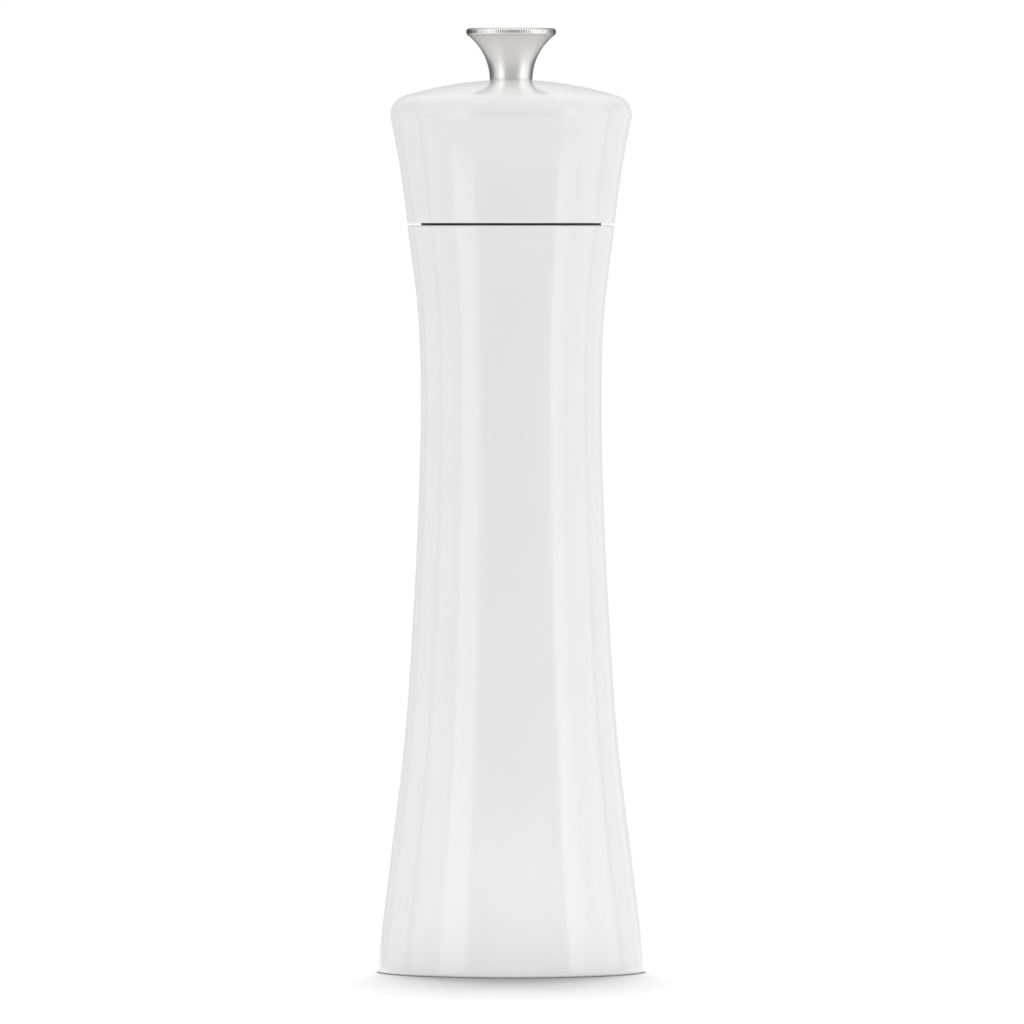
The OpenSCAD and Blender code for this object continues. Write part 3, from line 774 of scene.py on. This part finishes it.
def make_screws(node, name, sizes, places, z):
    """One screw with its cross recess cut, repeated at each place as one piece."""
    head_r, head_h = sizes[:2]
    screw = add_mesh("scratch", screw_bmesh(sizes, z))
    arms = []
    slot_w, slot_l = head_r * 0.26, head_r * 1.1
    slot_foot, slot_end = z - head_h - 1, z - head_h * 0.42
    for turn in (0, 90):
        arm = scratch_box((-slot_l / 2, -slot_w / 2, slot_foot), (slot_l / 2, slot_w / 2, slot_end))
        for vertex in arm.data.vertices:
            if vertex.co.z > (z - head_h) * MM:
                vertex.co.x *= 0.55
                vertex.co.y *= 0.7
        arms.append(place(arm, 0, 0, turn))
    combine(screw, arms, "DIFFERENCE", 30)
    bm = bmesh.new()
    for x, y in places:
        copy = screw.data.copy()
        copy.transform(Matrix.Translation((x * MM, y * MM, 0)))
        bm.from_mesh(copy)
        bpy.data.meshes.remove(copy)
    bpy.data.objects.remove(screw)
    return finish_piece(add_mesh(name, bm, 30), node, SCREW_STEEL)


# ---------------------------------------------------------------- burrs


def tooth(phase, deepest):
    """A tooth's profile, from 0 on its crest to 1 at the gap's bottom, where the phase is deepest."""
    phase %= 1
    return phase / deepest if phase < deepest else (1 - phase) / (1 - deepest)


def groove(phase, width):
    """A round-bottomed groove, from 0 outside it to 1 at its middle."""
    offset = abs((phase % 1) - 0.5) / (width / 2)
    return sqrt(1 - offset ** 2) if offset < 1 else 0.0


def make_rotor():
    """A cone with fine teeth round its foot band, coarse grooves above them and a key slot in its top."""
    low, high = BURR_LOW.z, BURR_HIGH.z
    band_top = low + BAND_H
    band_top_r = ROTOR_R - BAND_SLOPE * BAND_H
    shoulder_r, bore_r, recess_r, recess_top = 7.8, 5.5, 7.2, low + 5

    def shape(r, z, angle):
        if r <= shoulder_r - 0.01 or z >= high - 0.01:
            return r
        turn = angle / tau
        fine = tooth(turn * FINE_TEETH - (z - low) * FINE_TWIST, 0.3)
        fine_depth = 0.55 * min(max((band_top + 0.6 - z) / 0.6, 0), 1)
        coarse = groove(turn * ROTOR_GROOVES - (z - low) * ROTOR_TWIST, 0.46)
        coarse_depth = 1.75 * min(max((z - band_top + 0.9) / 1.6, 0), 1)
        return r - max(fine * fine_depth, coarse * coarse_depth)

    outline = [(recess_r, low), (ROTOR_R - 0.1, low)]
    outline += [(ROTOR_R - BAND_SLOPE * (z - low), z) for z in spread(low + 0.05, band_top, 18)]
    for t in spread(0, 1, 20)[1:]:
        outline.append((band_top_r + (shoulder_r - band_top_r) * t, band_top + (high - band_top) * t))
    outline += [(bore_r, high), (bore_r, recess_top), (recess_r, recess_top)]
    rotor = add_mesh("rotor_burr_cone", turned_bmesh(outline, FINE_TEETH * 12, shape), 50)
    key = scratch_box((-6.8, -1.2, recess_top + 2), (6.8, 1.2, high + 1))
    combine(rotor, [key], "DIFFERENCE", 50)
    return finish_piece(rotor, "rotor_burr", CERAMIC)


def make_stator():
    """A ring with fine teeth in its foot band, coarse grooves above them and three lugs outside."""
    low, high = STATOR_LOW.z, STATOR_HIGH.z
    outer_r, lug_r, lug_top = 17.5, 18.3, low + 2
    band_top = low + BAND_H - 0.5
    foot_r = ROTOR_R - BAND_SLOPE + 0.85
    band_top_r = foot_r - BAND_SLOPE * (band_top - low)
    mouth_r = 15.4

    def shape(r, z, angle):
        turn = angle / tau
        if r >= outer_r - 0.01:
            half_width = min(abs((angle - radians(90 + 120 * k) + pi) % tau - pi) for k in range(3)) * outer_r
            return lug_r if half_width < 1.5 and z < lug_top + 0.01 and z > low + 0.01 else r
        if z >= high - 0.01:
            return r
        fine = tooth(turn * FINE_TEETH + (z - low) * FINE_TWIST, 0.7)
        fine_depth = 0.5 * min(max((band_top + 0.6 - z) / 0.6, 0), 1)
        coarse = groove(turn * STATOR_GROOVES + (z - low) * STATOR_TWIST, 0.5)
        coarse_depth = 1.1 * min(max((z - band_top + 0.6) / 1.6, 0), 1)
        return r + max(fine * fine_depth, coarse * coarse_depth)

    outline = [(outer_r, low), (outer_r, low + 0.02), (outer_r, lug_top), (outer_r, lug_top + 0.05)]
    outline += [(outer_r, high - 0.3), (outer_r - 0.3, high), (mouth_r + 1.1, high)]
    for t in spread(0, 1, 20)[:-1]:
        outline.append((mouth_r + (band_top_r - mouth_r) * t, high - 0.02 - (high - 0.02 - band_top) * t))
    outline += [(foot_r - BAND_SLOPE * (z - low), z) for z in spread(band_top, low, 16)]
    stator = add_mesh("stator_burr_ring", turned_bmesh(outline, FINE_TEETH * 12, shape), 50)
    return finish_piece(stator, "stator_burr", CERAMIC)


# ---------------------------------------------------------------- CAD nodes that stay


def dress(node, material, bevel=0.12):
    """Gives a CAD node its material, and softens its edges with modifiers."""
    piece = frame["nodes"][node]
    piece.data.materials.clear()
    piece.data.materials.append(material)
    join = piece.modifiers.new("join", "WELD")
    join.merge_threshold = 0.000002
    soften = piece.modifiers.new("soften", "BEVEL")
    soften.width = bevel * MM
    soften.segments = 2
    soften.limit_method = "ANGLE"
    soften.angle_limit = radians(40)
    soften.harden_normals = True
    soften.miter_outer = "MITER_ARC"


def dress_cad_nodes():
    """Materials for the CAD nodes that have no piece of their own in their place."""
    dress("grinder_housing", NYLON)
    dress("stator_lock_ring", NYLON)
    dress("rotor_carrier", NYLON)
    dress("drive_bush", ACETAL)
    dress("stop_clip", SPRING_STEEL, 0.06)
    dress("head_core", BLACK)
    dress("drive_plate", PLATE_STEEL, 0.1)


# ---------------------------------------------------------------- the scene


def make_floor():
    """A grey paper disc under the mill, lit brightly enough to melt into the white surround."""
    bm = bmesh.new()
    bmesh.ops.create_circle(bm, cap_ends=True, segments=128, radius=0.6)
    floor_mesh = bpy.data.meshes.new("floor")
    bm.to_mesh(floor_mesh)
    bm.free()
    disc = bpy.data.objects.new("floor", floor_mesh)
    bpy.context.scene.collection.objects.link(disc)
    paper = Nodes("floor_paper").set(Roughness=0.9, Specular_IOR_Level=0.0, Base_Color=(0.25, 0.25, 0.25, 1))
    disc.data.materials.append(paper.material)
    return disc


def area_light(name, place_m, aim_m, size_m, power):
    """A rectangular lamp that the camera doesn't see, in metres and watts."""
    light = bpy.data.lights.new(name, "AREA")
    light.shape = "RECTANGLE"
    light.size, light.size_y = size_m
    light.energy = power
    lamp = bpy.data.objects.new(name, light)
    lamp.location = place_m
    lamp.rotation_euler = (Vector(aim_m) - Vector(place_m)).to_track_quat("-Z", "Y").to_euler()
    lamp.visible_camera = False
    bpy.context.scene.collection.objects.link(lamp)
    return lamp


def link_light(lamp, pieces, state):
    """Lets a light reach only these pieces, or everything but these pieces."""
    group = bpy.data.collections.new(lamp.name + "_reach")
    for piece in pieces:
        group.objects.link(piece)
    for entry in group.collection_objects:
        entry.light_linking.link_state = state
    lamp.light_linking.receiver_collection = group


def make_base_fill(disc):
    """A low fill from the front that makes up for the dark patch of floor before the base."""
    height = 0.004
    lamp = area_light("base_fill", (0, -0.075, height), (0, 0, height), (0.07, 0.006), power=0.006)
    lamp.visible_glossy = False
    link_light(lamp, [disc], "EXCLUDE")


def make_floor_light(disc):
    """A broad light from above and behind for the floor alone. It lays the mill's soft shadow in front."""
    lamp = area_light("floor_light", (0, 2.4, 6.0), (0, 0, 0), (2.5, 4.8), power=1820)
    link_light(lamp, [disc], "INCLUDE")


# Two upright panels, in metres: how far from the axis they stand, their width and their height
SIDE_FILL_AWAY = 0.45
SIDE_FILL_W = 0.275
SIDE_FILL_H = 0.32
# Their names, angles from the camera's side in degrees (left negative) and brightness
SIDE_FILLS = (("side_fill_left", -119, 0.66), ("side_fill_right", 128, 0.72))


def make_side_fills(shells):
    """Panels that light only the white shells, and fill the surround's dark gaps for them."""
    middle = SIDE_FILL_H / 2
    for name, degrees, glow in SIDE_FILLS:
        x, y = SIDE_FILL_AWAY * sin(radians(degrees)), -SIDE_FILL_AWAY * cos(radians(degrees))
        power = glow * pi * SIDE_FILL_W * SIDE_FILL_H
        lamp = area_light(name, (x, y, middle), (0, 0, middle), (SIDE_FILL_W, SIDE_FILL_H), power)
        link_light(lamp, shells, "INCLUDE")


# Studio surround: (angle from the camera's side in degrees, left negative; brightness). Bright softboxes
# stand near 55 degrees on either side, and the dark gaps that shade the knob's edges near 125 degrees.
SURROUND = (
    (-180, 0.75), (-160, 0.75), (-144, 0.70), (-138, 0.04), (-102, 0.04), (-94, 1.05), (-66, 0.95),
    (-64, 2.35), (-42, 2.20), (-38, 0.50), (-10, 0.45), (40, 0.48), (50, 0.65), (54, 2.85), (66, 2.30),
    (74, 1.45), (104, 1.45), (113, 0.08), (143, 0.08), (150, 0.85), (180, 0.75),
)
ROOF_START, ROOF_FULL = 0.25, 0.7  # height of a direction where the ceiling begins, and where it is full
ROOF_FRONT, ROOF_BACK = 1.3, 1.35  # brightness of the ceiling in front of the mill and behind it
STUDIO_STRENGTH = 0.9


def make_world():
    """A soft studio that lights the mill: two tall softboxes, dark gaps and a pale ceiling.

    The camera sees plain white in its place.
    """
    world = bpy.data.worlds.new("studio")
    bpy.context.scene.world = world
    world.use_nodes = True
    tree = world.node_tree
    tree.nodes.clear()

    def add(kind, inputs=None, **settings):
        return add_node(tree, kind, inputs, **settings)

    parts = add("ShaderNodeSeparateXYZ", {0: add("ShaderNodeTexCoord").outputs["Generated"]}).outputs
    to_front = add("ShaderNodeMath", {0: parts[1], 1: -1.0}, operation="MULTIPLY").outputs[0]
    angle = add("ShaderNodeMath", {0: parts[0], 1: to_front}, operation="ARCTAN2").outputs[0]
    share = add("ShaderNodeMapRange", {"Value": angle, "From Min": -pi, "From Max": pi}).outputs["Result"]
    brightest = max(value for _, value in SURROUND)
    ramp = add("ShaderNodeValToRGB", {"Fac": share})
    stops = ramp.color_ramp.elements
    while len(stops) < len(SURROUND):
        stops.new(0.5)
    for stop, (degrees, value) in zip(stops, SURROUND):
        stop.position = (degrees + 180) / 360
        stop.color = (value / brightest, value / brightest, value / brightest, 1)
    full_scale = {0: ramp.outputs["Color"], "Scale": brightest}
    ring = add("ShaderNodeVectorMath", full_scale, operation="SCALE").outputs[0]
    rise = {"Value": parts[2], "From Min": ROOF_START, "From Max": ROOF_FULL}
    height = add("ShaderNodeMapRange", rise).outputs["Result"]
    front_to_back = {"Value": parts[1], "From Min": -0.8, "From Max": 0.8}
    roof_light = {"To Min": ROOF_FRONT, "To Max": ROOF_BACK}
    roof = add("ShaderNodeMapRange", {**front_to_back, **roof_light}).outputs["Result"]
    sky = add("ShaderNodeMix", {"Factor": height, 6: ring, 7: roof}, data_type="RGBA").outputs[2]
    lit = add("ShaderNodeBackground", {"Color": sky, "Strength": STUDIO_STRENGTH}).outputs[0]
    seen = add("ShaderNodeBackground", {"Color": (1, 1, 1, 1), "Strength": 1.0}).outputs[0]
    straight = add("ShaderNodeLightPath").outputs["Is Camera Ray"]
    both = add("ShaderNodeMixShader", {0: straight, 1: lit, 2: seen}).outputs[0]
    add("ShaderNodeOutputWorld", {"Surface": both})
    bpy.context.scene.view_settings.view_transform = "Standard"


LENS_MM = 553.6
CAMERA_AT = (0, -3.5, 0.1663)
CAMERA_AIM = (0.0002, 0, 0.1023)


def make_camera():
    """A long lens at the height of the head's lower rim, tilted down a little, without shift."""
    data = bpy.data.cameras.new("camera")
    data.lens = LENS_MM
    data.sensor_width = 36
    data.clip_end = 40
    camera = bpy.data.objects.new("camera", data)
    camera.location = CAMERA_AT
    aim = Vector(CAMERA_AIM) - camera.location
    camera.rotation_euler = aim.to_track_quat("-Z", "Y").to_euler()
    bpy.context.scene.collection.objects.link(camera)
    bpy.context.scene.camera = camera


make_camera()
make_world()
floor_disc = make_floor()
make_floor_light(floor_disc)
make_base_fill(floor_disc)

white_shells = [make_body_shell(), make_head_shell()]
make_side_fills(white_shells)
make_mouth_collar()
make_knob()
make_shaft()
make_spring()
make_nut()
make_rotor()
make_stator()
for washer_name, hole_r in (("thrust_washer", 5.06), ("knob_washer", 2.9)):
    make_washer(washer_name, washer_name + "_ring", hole_r, ACETAL)
make_washer("spring_seat_washer", "spring_seat_ring", 3.7, SCREW_STEEL)
make_washer("rotor_washer", "rotor_washer_ring", 2.1, SCREW_STEEL)
housing_places = [(POST_PLACE * cos(radians(a)), POST_PLACE * sin(radians(a))) for a in POST_ANGLES]
core_places = [(0, -CORE_POST_PLACE), (0, CORE_POST_PLACE)]
plate_places = [(-PLATE_SCREW_PLACE, 0), (PLATE_SCREW_PLACE, 0)]
make_screws("housing_screws", "housing_pan_screws", HOUSING_SCREW, housing_places, HOUSING_SCREW_Z)
make_screws("core_screws", "core_pan_screws", CORE_SCREW, core_places, HEAD_Z)
make_screws("drive_plate_screws", "plate_pan_screws", PLATE_SCREW, plate_places, PLATE_SCREW_Z)
dress_cad_nodes()
